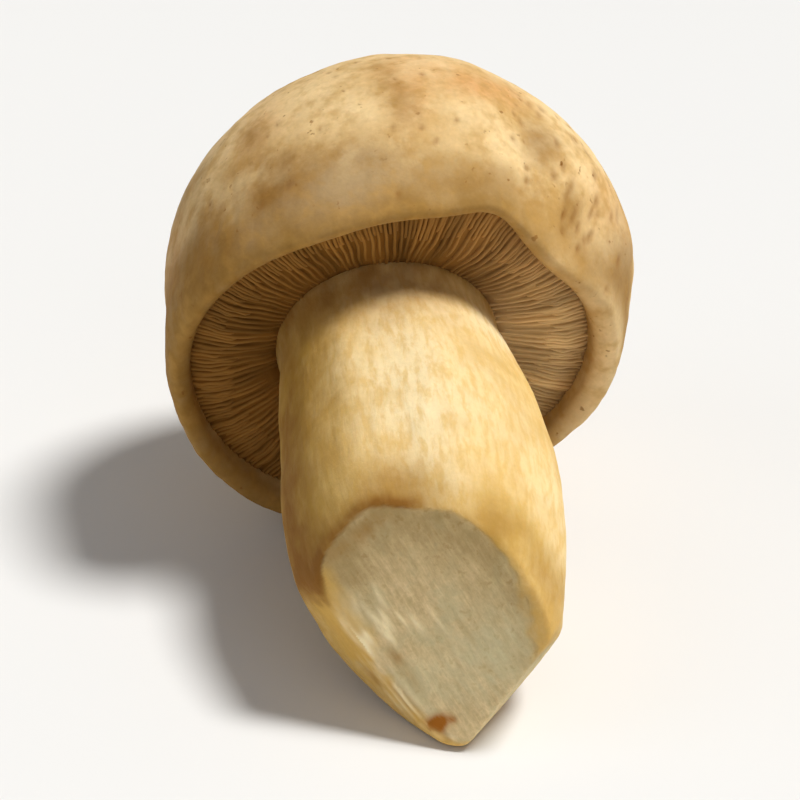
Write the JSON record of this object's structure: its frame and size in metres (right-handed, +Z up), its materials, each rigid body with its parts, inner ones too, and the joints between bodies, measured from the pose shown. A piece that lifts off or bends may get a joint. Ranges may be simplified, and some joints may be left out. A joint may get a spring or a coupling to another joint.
{
  "type": "button mushroom",
  "caption": "Whole edible mushroom lying on its side: domed tan cap with inrolled rim, radial gills and a stout pale stem with a knife-trimmed foot.",
  "frame": {"origin": "on the surface that the mushroom lies on, below the middle of its bounding box", "axes": "+Z up; +Y along the surface from the stem's foot to the cap, the long way of the mushroom; +X to the right when looking from foot to cap"},
  "size_m": [0.094, 0.1348, 0.0957],
  "materials": {
    "cap_skin": "matte tan mushroom skin, brown mottling and small dark specks",
    "gill_flesh": "matte brown gill edges, darker between the gills",
    "stem_flesh": "matte cream flesh, fine lengthwise fibres, greyer on the knife cut"
  },
  "bodies": {
    "root": {"cap": "cap_skin", "gills": "gill_flesh", "stem": "stem_flesh"}
  },
  "joints": []
}
